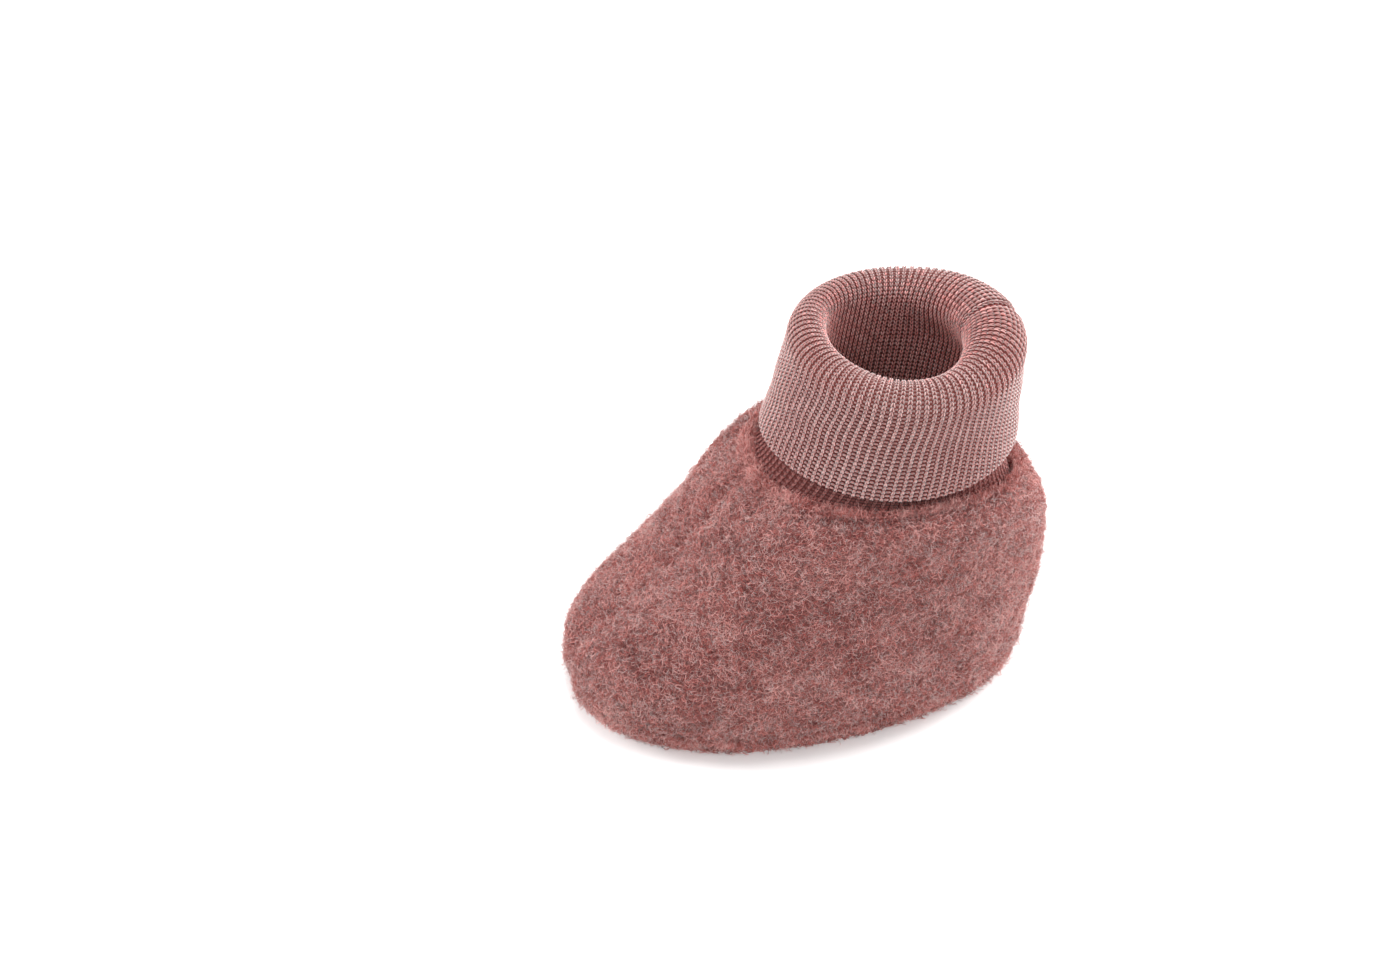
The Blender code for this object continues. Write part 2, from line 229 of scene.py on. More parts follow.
def oval_points(oval, angles):
    """Points on an oval. The ribs stay in line with those below where it moves towards the toe."""
    angles = angles + oval.gather * np.sin(2 * angles)
    angles = angles + oval.towards_toe / oval.half_length * np.cos(angles)
    cosine, sine = np.cos(angles), np.sin(angles)
    height = oval.height - oval.tilt * sine - oval.saddle * np.cos(2 * angles)
    axis = AXIS_AT_HEM + (height - HEM_HEIGHT) * math.tan(CUFF_LEAN) - oval.towards_toe
    across = oval.half_width * cosine - oval.right_reach * smooth_share(-RIGHT_REACH_TURN * cosine)
    return np.stack((across, axis + oval.half_length * sine, height), axis=-1)


def cuff_wall(height, inset):
    """The oval of the turned-down layer at a height, moved in from its outer face."""
    middle = (HEM_HEIGHT + FOLD_FOOT_HEIGHT) / 2
    if height < middle:
        share = (height - HEM_HEIGHT) / (middle - HEM_HEIGHT)
        start, end = CUFF_AT_HEM, CUFF_AT_MIDDLE
    else:
        share = (height - middle) / (FOLD_FOOT_HEIGHT - middle)
        start, end = CUFF_AT_MIDDLE, CUFF_AT_FOLD
    return oval_at(height, inset_by(blended(start, end, smooth_share(share)), inset))


# Mesh helpers


def add_object(name, data):
    obj = bpy.data.objects.new(name, data)
    bpy.context.scene.collection.objects.link(obj)
    return obj


def add_mesh(name, points, faces, materials, face_materials=None):
    """Adds a smooth mesh from arrays. Faces are all triangles or all quads."""
    mesh = bpy.data.meshes.new(name)
    faces = np.asarray(faces, np.int32)
    mesh.vertices.add(len(points))
    mesh.vertices.foreach_set("co", np.asarray(points, np.float32).ravel())
    mesh.loops.add(faces.size)
    mesh.loops.foreach_set("vertex_index", faces.ravel())
    mesh.polygons.add(len(faces))
    mesh.polygons.foreach_set("loop_start", np.arange(0, faces.size, faces.shape[1], dtype=np.int32))
    for material in materials:
        mesh.materials.append(material)
    if face_materials is not None:
        mesh.polygons.foreach_set("material_index", np.asarray(face_materials, np.int32))
    mesh.update(calc_edges=True)
    mesh.shade_smooth()
    return add_object(name, mesh)


def grid_faces(rows, columns, closed_rows=False, closed_columns=False):
    """Quads of a grid of points stored row by row."""
    row = np.arange(rows if closed_rows else rows - 1)[:, None]
    column = np.arange(columns if closed_columns else columns - 1)[None, :]
    beside = (column + 1) % columns
    low, high = row * columns, (row + 1) % rows * columns
    quads = np.stack((low + column, low + beside, high + beside, high + column), axis=-1)
    return quads.reshape(-1, 4)


def unit(vectors):
    return vectors / np.maximum(np.linalg.norm(vectors, axis=-1, keepdims=True), 1e-12)


def grid_normals(grid, closed_columns=False):
    """Unit normals of a grid whose rows run up and whose columns run anticlockwise from above."""
    upward = np.gradient(grid, axis=0)
    if closed_columns:
        around = (np.roll(grid, -1, axis=1) - np.roll(grid, 1, axis=1)) / 2
    else:
        around = np.gradient(grid, axis=1)
    return unit(np.cross(around, upward))


def mixed(values, rows, columns, beside, up, along):
    """Values between four neighbours of a grid: two rows, and a column with the one beside it."""
    low = values[rows, columns] * (1 - along) + values[rows, beside] * along
    high = values[rows + 1, columns] * (1 - along) + values[rows + 1, beside] * along
    return low * (1 - up) + high * up


def noise_at(points, size, seed):
    """Smooth noise between about -1 and 1, whose bumps are about the given size across."""
    shape = points.shape[:-1]
    flat = points.reshape(-1, 3) / size + seed
    values = [noise.noise(Vector(point)) for point in flat.tolist()]
    return np.array(values).reshape(shape)


def tube_faces(rings, sides):
    """Triangles of one tube: its first point, its rings and its last point."""
    faces = []
    for side in range(sides):
        beside = (side + 1) % sides
        faces.append((0, 1 + beside, 1 + side))
        for low in range(1, 1 + (rings - 1) * sides, sides):
            high = low + sides
            faces.append((low + side, low + beside, high + beside))
            faces.append((low + side, high + beside, high + side))
        last_ring = 1 + (rings - 1) * sides
        faces.append((last_ring + side, last_ring + beside, last_ring + sides))
    return np.array(faces)


def add_tubes(name, paths, radii, sides, up, materials, tones):
    """Thin closed tubes that taper to a point at both ends.

    Paths is (tubes, points, 3), radii (points,) or (tubes, points), up a direction for each tube.
    """
    count, steps = paths.shape[:2]
    radii = np.broadcast_to(radii, (count, steps))
    inner = paths[:, 1:-1]
    along = unit(paths[:, 2:] - paths[:, :-2])
    across = unit(np.cross(along, up[:, None, :]))
    out = np.cross(across, along)
    turns = full_turn(sides)[:, None]
    spokes = across[:, :, None] * np.cos(turns) + out[:, :, None] * np.sin(turns)
    rings = steps - 2
    walls = (inner[:, :, None] + radii[:, 1:-1, None, None] * spokes).reshape(count, rings * sides, 3)
    points = np.concatenate((paths[:, :1], walls, paths[:, -1:]), axis=1)
    faces = tube_faces(rings, sides)
    all_faces = (faces[None] + (np.arange(count) * points.shape[1])[:, None, None]).reshape(-1, 3)
    face_tones = np.repeat(tones, len(faces))
    return add_mesh(name, points.reshape(-1, 3), all_faces, materials, face_tones)


# Materials


def set_inputs(node, values):
    for name, value in values.items():
        node.inputs[name].default_value = value


def new_material(name):
    material = bpy.data.materials.new(name)
    material.use_nodes = True
    return material, material.node_tree, material.node_tree.nodes["Principled BSDF"]


def position_noise(tree, size, detail, roughness):
    """A noise texture in the object's own space. Size is how far apart its bumps are."""
    place = tree.nodes.new("ShaderNodeTexCoord")
    texture = tree.nodes.new("ShaderNodeTexNoise")
    set_inputs(texture, {"Scale": 1.0 / size, "Detail": detail, "Roughness": roughness})
    tree.links.new(place.outputs["Object"], texture.inputs["Vector"])
    return texture.outputs["Fac"]


def add_bump(tree, shader, height, distance, strength):
    bump = tree.nodes.new("ShaderNodeBump")
    set_inputs(bump, {"Strength": strength, "Distance": distance})
    tree.links.new(height, bump.inputs["Height"])
    tree.links.new(bump.outputs["Normal"], shader.inputs["Normal"])


def colour_ramp(tree, factor, stops):
    ramp = tree.nodes.new("ShaderNodeValToRGB")
    elements = ramp.color_ramp.elements
    while len(elements) < len(stops):
        elements.new(0.5)
    for element, (position, colour) in zip(elements, stops):
        element.position = position
        element.color = (*colour, 1.0)
    tree.links.new(factor, ramp.inputs["Fac"])
    return ramp.outputs["Color"]


def mix_colours(tree, share, first, second):
    mix = tree.nodes.new("ShaderNodeMix")
    mix.data_type = "RGBA"
    set_inputs(mix, {"Factor": share})
    tree.links.new(first, mix.inputs["A"])
    tree.links.new(second, mix.inputs["B"])
    return mix.outputs["Result"]


def soft_fibre(shader, roughness, sheen, sheen_roughness, tint):
    """Rough and barely glossy, with a sheen for the loose ends that stand off it."""
    set_inputs(shader, {"Roughness": roughness, "Specular IOR Level": 0.25})
    set_inputs(shader, {"Sheen Weight": sheen, "Sheen Roughness": sheen_roughness})
    set_inputs(shader, {"Sheen Tint": (*tint, 1.0)})


# Stops of a colour ramp over noise, darker than the fibres: painted shade for the gaps between them
PATCH_COLOURS = (
    (0.30, (0.130, 0.038, 0.034)),
    (0.52, (0.200, 0.066, 0.058)),
    (0.72, (0.280, 0.105, 0.094)),
)
SPECK_COLOURS = (
    (0.32, (0.090, 0.024, 0.021)),
    (0.50, (0.200, 0.068, 0.060)),
    (0.70, (0.380, 0.160, 0.145)),
)


def fleece_material():
    """Matted felt in broad patches and fine specks of tone, with a tangled surface; the whole felt is
    darker than its fibres, painted shade for the gaps between them.
    """
    material, tree, shader = new_material("wool_fleece")
    tint = (0.95, 0.80, 0.78)
    soft_fibre(shader, roughness=0.95, sheen=0.8, sheen_roughness=0.5, tint=tint)
    patches = colour_ramp(tree, position_noise(tree, 9 * MM, detail=4.0, roughness=0.62), PATCH_COLOURS)
    specks = colour_ramp(tree, position_noise(tree, 0.9 * MM, detail=3.0, roughness=0.7), SPECK_COLOURS)
    tree.links.new(mix_colours(tree, 0.5, patches, specks), shader.inputs["Base Color"])
    tangle = position_noise(tree, 0.35 * MM, detail=4.0, roughness=0.7)
    add_bump(tree, shader, tangle, distance=0.35 * MM, strength=0.9)
    return material


def plain_fibre_material(
    name, colour, sheen=0.5, grain=0.12 * MM, sheen_roughness=0.4, tint=(0.80, 0.96, 0.94)
):
    """One tone of yarn or wool fibre, with a spun grain in its normals."""
    material, tree, shader = new_material(name)
    set_inputs(shader, {"Base Color": (*colour, 1.0)})
    soft_fibre(shader, 0.85, sheen, sheen_roughness, tint)
    spun = position_noise(tree, grain, detail=2.0, roughness=0.6)
    add_bump(tree, shader, spun, distance=0.05 * MM, strength=0.6)
    return material


def yarn_material(name, colour, sheen=1.0):
    """The yarn's loose ends scatter a greyer light than its dyed core."""
    return plain_fibre_material(name, colour, sheen, sheen_roughness=0.6, tint=(0.68, 1.0, 0.99))


def tones_of(make, name, sheen, *colours):
    """One material for each colour, from dark to light."""
    shades = ("dark", "middle", "light", "pale")
    return [make(f"{name}_{shade}", colour, sheen) for shade, colour in zip(shades, colours)]


FLEECE_CLOTH = fleece_material()
FIBRE_COLOURS = (
    (0.206, 0.038, 0.032),
    (0.431, 0.111, 0.096),
    (0.617, 0.216, 0.193),
    (0.774, 0.376, 0.344),
)
FUZZ_TONES = tones_of(plain_fibre_material, "fibre", 0.4, *FIBRE_COLOURS)
# Paler and greyer than the wool: painted light, for the bright haze of stray fibres at the edges
HAZE_FIBRE = plain_fibre_material("fibre_haze", (0.720, 0.515, 0.498))
YARN_COLOURS = (0.440, 0.132, 0.119), (0.540, 0.196, 0.180), (0.640, 0.280, 0.262)
YARN_TONES = tones_of(yarn_material, "yarn", 1.0, *YARN_COLOURS)
# For the inside of the cuff, which lies in shade: painted light, tones lighter than the same yarn
# outside, and with less sheen
SHADED_YARN_COLOURS = (0.760, 0.270, 0.250), (0.850, 0.370, 0.348), (0.910, 0.475, 0.453)
SHADED_YARN_TONES = tones_of(yarn_material, "shaded_yarn", 0.45, *SHADED_YARN_COLOURS)
# Painted shade: the neck's yarn is the cuff's yarn, darker here for the shade under the cuff
NECK_SHADE_COLOURS = (0.340, 0.098, 0.088), (0.420, 0.140, 0.127), (0.500, 0.190, 0.175)
NECK_SHADE_TONES = tones_of(yarn_material, "neck_yarn", 0.3, *NECK_SHADE_COLOURS)
# Darker than the yarn on the ribs: painted shade for the grooves the bars lie in
PURL_SHADE_TONES = [
    yarn_material("purl_dark", (0.370, 0.108, 0.097)),
    yarn_material("purl_light", (0.450, 0.152, 0.138)),
]
# Painted shade, like the neck's yarn
NECK_SHADE_PURL = yarn_material("neck_purl", (0.280, 0.080, 0.071), 0.2)
# Painted shade: the sheet under the stitches is darker than the yarn, for the shade in the gaps between
# stitches and in the grooves
RIB_SHADE_GROUND = plain_fibre_material("rib_shade_ground", (0.200, 0.056, 0.050), sheen=0.2, grain=0.3 * MM)
SEAM_YARN = plain_fibre_material("seam_yarn", (0.230, 0.052, 0.048), sheen=0.0)
THREAD = plain_fibre_material("sewing_thread", (0.250, 0.085, 0.080))


# The fleece panels and the sole

PANEL_COLUMNS = 240
PANEL_ROWS = 104
NAP_DEPTH = 0.45 * MM  # the cloth lies this deep below the tips of its nap
NAP_THINS = 0.06  # over this share of the panel's height, below the ankle seam
CLOTH_ROOM = 0.1 * MM  # the cloth is this much thinner than its CAD node
SOLE_TUCK = 1.0 * MM  # how far panel and sole turn in to the sole seam
SOLE_TUCK_REACH = 0.045
VALLEY_DEPTH = 1.3 * MM
VALLEY_REACH = 3.2 * MM
STITCH_DEPTH = 0.9 * MM
STITCH_REACH = 0.9 * MM

# The relief fades out towards the panel's edges and towards its two upright seams
EDGE_CALM = 0.06
BROAD_SEAM_CALM = 5 * MM
FINE_SEAM_CALM = 0.8 * MM

# How high the bumps of each kind are, how far apart, and the seed of their noise
Bumps = namedtuple("Bumps", "height size seed")
PUFFS = Bumps(0.50 * MM, 17 * MM, 3.1)
CREASES = Bumps(0.40 * MM, 15 * MM, 8.7)
CREASE_STRETCH = (1.0, 0.55, 2.2)  # they run lengthwise
CREASE_LIFT = 0.1 * MM
TUFTS = Bumps(0.30 * MM, 2.6 * MM, 1.3)
TANGLE = Bumps(0.22 * MM, 1.1 * MM, 5.9)
SOLE_TUFTS = Bumps(0.25 * MM, 2.2 * MM, 2.2)
SOLE_TANGLE = Bumps(0.12 * MM, 0.9 * MM, 6.1)


def bumps_at(points, bumps, side=0):
    return bumps.height * noise_at(points, bumps.size, bumps.seed + side)


def seam_dip(points):
    """How far the fleece sinks towards the toe and heel seams, wide at first and then sharply."""
    across = np.abs(points[..., 0])
    wide = VALLEY_DEPTH * np.exp(-across / VALLEY_REACH)
    return wide + STITCH_DEPTH * bell(across / STITCH_REACH)


def fleece_relief(points, side):
    """The outer face's (broad puffs and creases, fine tufts and tangles), outwards positive."""
    creases = np.abs(bumps_at(points * np.array(CREASE_STRETCH), CREASES, side))
    broad = bumps_at(points, PUFFS, side) + (CREASE_LIFT - creases)
    return broad, bumps_at(points, TUFTS, side) + bumps_at(points, TANGLE, side)


def keep_to_side(grid, side):
    """Keeps a panel on its own side of the middle, half a gap away from it."""
    grid[..., 0] = side * np.maximum(side * grid[..., 0], GAP / 2)


def panel_grid(side):
    """(outer points, normals) of a side panel, mirrored for the wearer's right."""
    levels = np.linspace(0, 1, PANEL_ROWS)
    grid = fleece_surface(levels, even_angles(PANEL_COLUMNS))
    normals = grid_normals(grid)
    tuck = SOLE_TUCK * bell(levels / SOLE_TUCK_REACH)
    nap = NAP_DEPTH * smooth_share((1 - levels) / NAP_THINS)
    grid = grid - normals * (seam_dip(grid) + (nap + tuck)[:, None])[..., None]
    grid[:, (0, -1), 0] = GAP / 2
    grid[..., 0] *= side
    normals[..., 0] *= side
    broad, fine = fleece_relief(grid, side)
    from_seam = np.abs(grid[..., 0])
    calm_edges = smooth_share(np.minimum(levels, 1 - levels) / EDGE_CALM)[:, None]
    broad = broad * calm_edges * smooth_share(from_seam / BROAD_SEAM_CALM)
    fine = fine * smooth_share(from_seam / FINE_SEAM_CALM)
    grid = grid + normals * (broad + fine)[..., None]
    keep_to_side(grid, side)
    grid[..., 2] += (0.5 * GAP * (1 - levels))[:, None]
    return grid, normals


EDGE_STEPS = 6
EDGE_FULLNESS = 0.9  # of a half round


def shell_of(outer, normals, thickness):
    """(closed grid, its outer face and edge): outer face, rounded top edge, then the inner face."""
    inner = outer - normals * thickness
    middle = (outer[-1] + inner[-1]) / 2
    half = (outer[-1] - inner[-1]) / 2
    lift = unit(outer[-1] - outer[-4]) * np.linalg.norm(half, axis=-1, keepdims=True)
    turns = np.linspace(0, math.pi, EDGE_STEPS + 1)[1:-1, None, None]
    edge = middle + half * np.cos(turns) + lift * EDGE_FULLNESS * np.sin(turns)
    return np.concatenate((outer, edge, inner[::-1])), np.concatenate((outer, edge))


def closed_strip(grid, side):
    """Points and faces of a shell grid: its rows close on themselves, and its two ends are filled."""
    rows, columns = grid.shape[:2]
    faces = grid_faces(rows, columns, closed_rows=True)
    low = np.arange((rows - 2) // 2)
    first_end = np.stack((low, low + 1, rows - 2 - low, rows - 1 - low), axis=-1) * columns
    last_end = (first_end + columns - 1)[:, ::-1]
    faces = np.concatenate((faces, first_end, last_end))
    if side < 0:
        faces = faces[:, ::-1]
    return grid.reshape(-1, 3), faces


def add_side_panel(name, node, side):
    """Adds a panel and gives back where its fibres grow: (points, normals)."""
    outer, normals = panel_grid(side)
    grid, haired = shell_of(outer, normals, FLEECE - NAP_DEPTH - CLOTH_ROOM)
    keep_to_side(grid, side)
    points, faces = closed_strip(grid, side)
    panel = add_mesh(name, points, faces, [FLEECE_CLOTH])
    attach(panel, "foot")
    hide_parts(node)
    return haired, side * grid_normals(haired)


SOLE_COLUMNS = 300
SOLE_GROUND_ROWS = 44
SOLE_CENTRE_SHARE = 0.02  # the innermost ring's size
SOLE_RIM_ROWS = 12
SOLE_RIM_POWER = 1.3
SOLE_CURL_POWER = 1.5
SOLE_RIM_HEIGHT = 1.5 * MM
PRESSED_LIFT = 0.12 * MM  # under the foot the nap is pressed flat on the ground
PRESSED_RELIEF = 0.35


def sole_grid():
    """The outer face of the sole: flat on the ground, then the rim that curls up to the seam."""
    angles = even_angles(SOLE_COLUMNS // 2 + 1)
    angles = np.concatenate((angles, math.pi - angles[-2:0:-1]))
    ground = ring_points(GROUND_RING, angles)
    seam = ring_points(SOLE_SEAM_RING, angles)
    middle = np.array((0.0, HALF_LENGTH * GROUND_RING.middle, 0.0))
    shares = np.linspace(SOLE_CENTRE_SHARE, 1.0, SOLE_GROUND_ROWS)
    rows = [middle + share * (ground - middle) for share in shares]
    for share in np.linspace(0, 1, SOLE_RIM_ROWS + 1)[1:]:
        point = ground + (seam - ground) * math.sin(share * math.pi / 2) ** SOLE_RIM_POWER
        point[:, 2] = seam[:, 2] * share**SOLE_CURL_POWER
        rows.append(point)
    return np.array(rows)


def sole_shell(outer, normals, rim):
    """The sole's two faces as one closed grid, centre to centre."""
    relief = bumps_at(outer, SOLE_TUFTS) + bumps_at(outer, SOLE_TANGLE)
    pressed = outer + normals * (relief * rim)[..., None]
    pressed[..., 2] += (1 - rim) * (PRESSED_LIFT + PRESSED_RELIEF * np.abs(relief))
    inner = pressed - normals * (FLEECE - CLOTH_ROOM)
    return np.concatenate((pressed, inner[::-1]))


def with_centres(grid):
    """Points and triangles of a closed round grid whose first and last rows are filled by fans."""
    rows, columns = grid.shape[:2]
    quads = grid_faces(rows, columns, closed_columns=True)[:, ::-1]
    points = grid.reshape(-1, 3)
    first_centre, last_centre = points[:columns].mean(0), points[-columns:].mean(0)
    points = np.concatenate((points, first_centre[None], last_centre[None]))
    around = np.arange(columns)
    beside = (around + 1) % columns
    last_row = (rows - 1) * columns
    first_fan = np.stack((np.full(columns, len(points) - 2), beside, around), axis=-1)
    last_centre_index = np.full(columns, len(points) - 1)
    last_fan = np.stack((last_centre_index, last_row + around, last_row + beside), axis=-1)
    return points, np.concatenate((quads[:, (0, 1, 2)], quads[:, (0, 2, 3)], first_fan, last_fan))


def add_sole():
    """Adds the sole and gives back where its fibres grow: (points, normals)."""
    outer = sole_grid()
    normals = grid_normals(outer, closed_columns=True)
    down = np.array((0, 0, -1))
    normals[np.abs(outer[..., 2]) < 1e-6] = down
    rim = smooth_share(outer[..., 2] / SOLE_RIM_HEIGHT)
    normals = unit(normals * rim[..., None] + down * (1 - rim)[..., None])
    tuck = SOLE_TUCK * np.linspace(0, 1, SOLE_RIM_ROWS) ** SOLE_CURL_POWER
    outer[-SOLE_RIM_ROWS:] -= normals[-SOLE_RIM_ROWS:] * tuck[:, None, None]
    outer[..., 2] = np.maximum(outer[..., 2], 0)
    points, triangles = with_centres(sole_shell(outer, normals, rim))
    sole = add_mesh("fleece_sole", points, triangles, [FLEECE_CLOTH])
    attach(sole, "foot")
    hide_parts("sole")
    return outer, normals


# Wool fibres

FIBRE_POINTS = 5
FIBRE_SIDES = 3
FIBRE_RADIUS = 0.050 * MM
HAZE_RADIUS = 0.019 * MM
LAY_SIZE = 6 * MM  # fibres lie alike over about this distance
LOOSENESS = 1.3
CURL = 2.6  # radians from root to tip, as often one way as the other
ROOT_DEPTH = 0.15 * MM
WOBBLE = 0.13 * MM
LENGTH_SPREAD = (0.55, 1.25)
STAND_SPREAD = (0.25, 1.6)
RADIUS_SPREAD = (0.7, 1.3)
TONE_PATCHES = Bumps(0.9, 3.5 * MM, 11.0)
BROAD_TONE_PATCHES = Bumps(0.6, 12 * MM, 15.0)
TONE_SCATTER = 0.55
TONE_STEPS = (-0.45, 0.25, 0.85)

# Stand is how far the fibres stand off the cloth, and the seed is that of their lay
Layer = namedtuple("Layer", "count length stand lightness seed")
# Lightness grows with the stand: the matted layer is painted darker for the shade deep in the nap, the
# loose one paler for the light rim it makes where it piles up at the edges
PANEL_LAYERS = {
    "matted": Layer(11000, 2.2 * MM, 0.20 * MM, -0.20, 11.0),
    "felted": Layer(11000, 2.0 * MM, 0.30 * MM, 0.10, 20.0),
    "woolly": Layer(11000, 2.0 * MM, 0.40 * MM, 0.30, 29.0),
    "curled": Layer(11000, 1.9 * MM, 0.50 * MM, 0.45, 38.0),
    "loose": Layer(9000, 2.2 * MM, 0.70 * MM, 0.60, 47.0),
}
# Painted light: the edge fibres are paler, for the light rim along the ankle and the sole
ANKLE_EDGE_LAYER = Layer(5000, 2.6 * MM, 0.60 * MM, 0.50, 71.0)
SOLE_EDGE_LAYER = ANKLE_EDGE_LAYER._replace(seed=91.0)
HAZE_LAYER = Layer(10000, 2.0 * MM, 1.6 * MM, 0.0, 101.0)
SEAM_LAYER = Layer(2600, 2.6 * MM, 0.45 * MM, 0.10, 81.0)
# The same painted shade and light as on the panels: the matted layer darker, the loose one lighter
SOLE_RIM_LAYERS = {
    "matted": Layer(3500, 2.0 * MM, 0.30 * MM, -0.30, 51.0),
    "loose": Layer(3500, 2.2 * MM, 0.50 * MM, 0.20, 60.0),
}
ANKLE_EDGE_ROWS = (-8, -2)
SOLE_EDGE_ROWS = (2, 9)
LEAN = 1.6  # how strongly the fibres at an edge or a seam lean over it
SEAM_HAIR_REACH = 0.9 * MM
LOWEST_FIBRE = 0.1 * MM
RIM_HAIR_STARTS_OVER = 1.0 * MM


def scatter(grid, normals, count, weight=None):
    """Random places on a grid, evenly by area: (points, normals)."""
    corner = grid[:-1, :-1]
    cells = np.cross(grid[1:, :-1] - corner, grid[:-1, 1:] - corner)
    area = np.linalg.norm(cells, axis=-1).ravel()
    if weight is not None:
        area = area * weight[:-1, :-1].ravel()
    chosen = RANDOM.choice(len(area), size=count, p=area / area.sum())
    rows, columns = np.divmod(chosen, grid.shape[1] - 1)
    up, along = RANDOM.random((2, count, 1))
    place = rows, columns, columns + 1, up, along
    return mixed(grid, *place), unit(mixed(normals, *place))


def swirl(points, normals, size, seed):
    """A direction along the surface that turns slowly from place to place."""
    seeds = seed, seed + 7.3, seed + 14.6
    wander = np.stack([noise_at(points, size, one) for one in seeds], axis=-1)
    flat = wander - normals * (wander * normals).sum(-1, keepdims=True)
    return unit(flat + 1e-9)


def fibre_paths(points, normals, layer, lean):
    """Curling fibres: each leaves its root, bends along the surface and comes back towards it."""
    count = len(points)
    lay = swirl(points, normals, LAY_SIZE, layer.seed)
    loose = unit(RANDOM.normal(size=(count, 3)))
    loose -= normals * (loose * normals).sum(-1, keepdims=True)
    lay = unit(lay + LOOSENESS * loose + np.array(lean))
    aside = np.cross(normals, lay)
    share = np.linspace(0, 1, FIBRE_POINTS)[None, :, None]
    lengths = (layer.length * RANDOM.uniform(*LENGTH_SPREAD, count))[:, None, None]
    curl = RANDOM.normal(0, CURL, count)[:, None, None]
    rise = (layer.stand * RANDOM.uniform(*STAND_SPREAD, count))[:, None, None]
    bend = curl * share
    safe_curl = np.where(np.abs(curl) < 1e-3, 1e-3, curl)
    forward = np.sin(bend) / safe_curl
    sideways = (1 - np.cos(bend)) / safe_curl
    arch = np.sin(np.minimum(share * 1.15, 1) * math.pi * 0.8)
    height = rise * arch - ROOT_DEPTH * (1 - share)
    paths = points[:, None] + lay[:, None] * forward * lengths
    paths = paths + aside[:, None] * sideways * lengths + normals[:, None] * height
    wobble = RANDOM.normal(0, WOBBLE, (count, FIBRE_POINTS, 3))
    wobble[:, 0] = 0
    return paths + wobble


def fibre_tones(points, lightness):
    """Light and dark fibres gather in patches, and every layer has its patches in the same places."""
    patches = bumps_at(points, TONE_PATCHES) + bumps_at(points, BROAD_TONE_PATCHES)
    level = lightness + patches + RANDOM.normal(0, TONE_SCATTER, len(points))
    return np.digitize(level, TONE_STEPS)


def add_fibres(name, face, layer, weight=None, lean=(0, 0, 0), lowest=None, haze=False):
    """Grows a layer of fibres on a face, which is (points, normals)."""
    points, up = scatter(*face, layer.count, weight)
    paths = fibre_paths(points, up, layer, lean)
    if lowest is not None:
        paths[..., 2] = np.maximum(paths[..., 2], lowest)
    tones = fibre_tones(points, layer.lightness)
    radius = HAZE_RADIUS if haze else FIBRE_RADIUS
    radii = radius * RANDOM.uniform(*RADIUS_SPREAD, (layer.count, 1)) * np.ones(FIBRE_POINTS)
    materials = [HAZE_FIBRE] if haze else FUZZ_TONES
    tones = np.minimum(tones, len(materials) - 1)
    fibres = add_tubes(name, paths, radii, FIBRE_SIDES, up, materials, tones)
    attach(fibres, "foot")


def on_rows(grid, first, last):
    """A weight of 1 on some rows of a grid and 0 on the others."""
    weight = np.zeros(grid.shape[:2])
    weight[first:last] = 1
    return weight


def dress_panel(face, side, side_name):
    """All the fibres of one side panel: its layers, its two edges, its haze and its seams."""
    grid = face[0]
    start = f"fibres_{side_name}"
    for layer_name, layer in PANEL_LAYERS.items():
        add_fibres(f"{start}_{layer_name}", face, layer)
    at_ankle = on_rows(grid, *ANKLE_EDGE_ROWS)
    add_fibres(f"{start}_ankle_edge", face, ANKLE_EDGE_LAYER, at_ankle, (0, 0, LEAN))
    at_sole = on_rows(grid, *SOLE_EDGE_ROWS)
    add_fibres(f"{start}_sole_edge", face, SOLE_EDGE_LAYER, at_sole, (0, 0, -LEAN), LOWEST_FIBRE)
    add_fibres(f"{start}_haze", face, HAZE_LAYER, haze=True)
    at_seams = bell(grid[..., 0] / SEAM_HAIR_REACH)
    at_seams[-4:] = 0
    add_fibres(f"{start}_seams", face, SEAM_LAYER, at_seams, (-LEAN * side, 0, 0))


def dress_fleece():
    left = add_side_panel("fleece_left_panel", "left_side_panel", 1)
    right = add_side_panel("fleece_right_panel", "right_side_panel", -1)
    dress_panel(left, 1, "left")
    dress_panel(right, -1, "right")
    sole = add_sole()
    on_rim = smooth_share((sole[0][..., 2] - LOWEST_FIBRE) / RIM_HAIR_STARTS_OVER)
    for layer_name, layer in SOLE_RIM_LAYERS.items():
        add_fibres(f"fibres_sole_{layer_name}", sole, layer, on_rim, lowest=LOWEST_FIBRE)


# The rib knit

Fabric = namedtuple("Fabric", "points normals courses")
FABRIC_COLUMNS = 360
ROWS_A_COURSE = 3
SMOOTHINGS = 2


def fabric_from(ovals, shape=None):
    """A tube of fabric as a dense grid, with its rows evenly apart, from a list of ovals."""
    angles = full_turn(FABRIC_COLUMNS)
    grid = np.array([oval_points(oval, angles) for oval in ovals])
    if shape is not None:
        grid = shape(grid, angles)
    step = np.linalg.norm(np.diff(grid, axis=0), axis=-1).mean(axis=1)
    walked = np.concatenate(([0], np.cumsum(step)))
    courses = max(int(round(walked[-1] / COURSE)), 2)
    evenly = np.linspace(0, walked[-1], courses * ROWS_A_COURSE + 1)
    places = np.interp(evenly, walked, np.arange(len(ovals)))
    low = np.minimum(places.astype(int), len(ovals) - 2)
    share = (places - low)[:, None, None]
    even = grid[low] * (1 - share) + grid[low + 1] * share
    for _ in range(SMOOTHINGS):
        even[1:-1] = (even[:-2] + 2 * even[1:-1] + even[2:]) / 4
    return Fabric(even, grid_normals(even, closed_columns=True), courses)


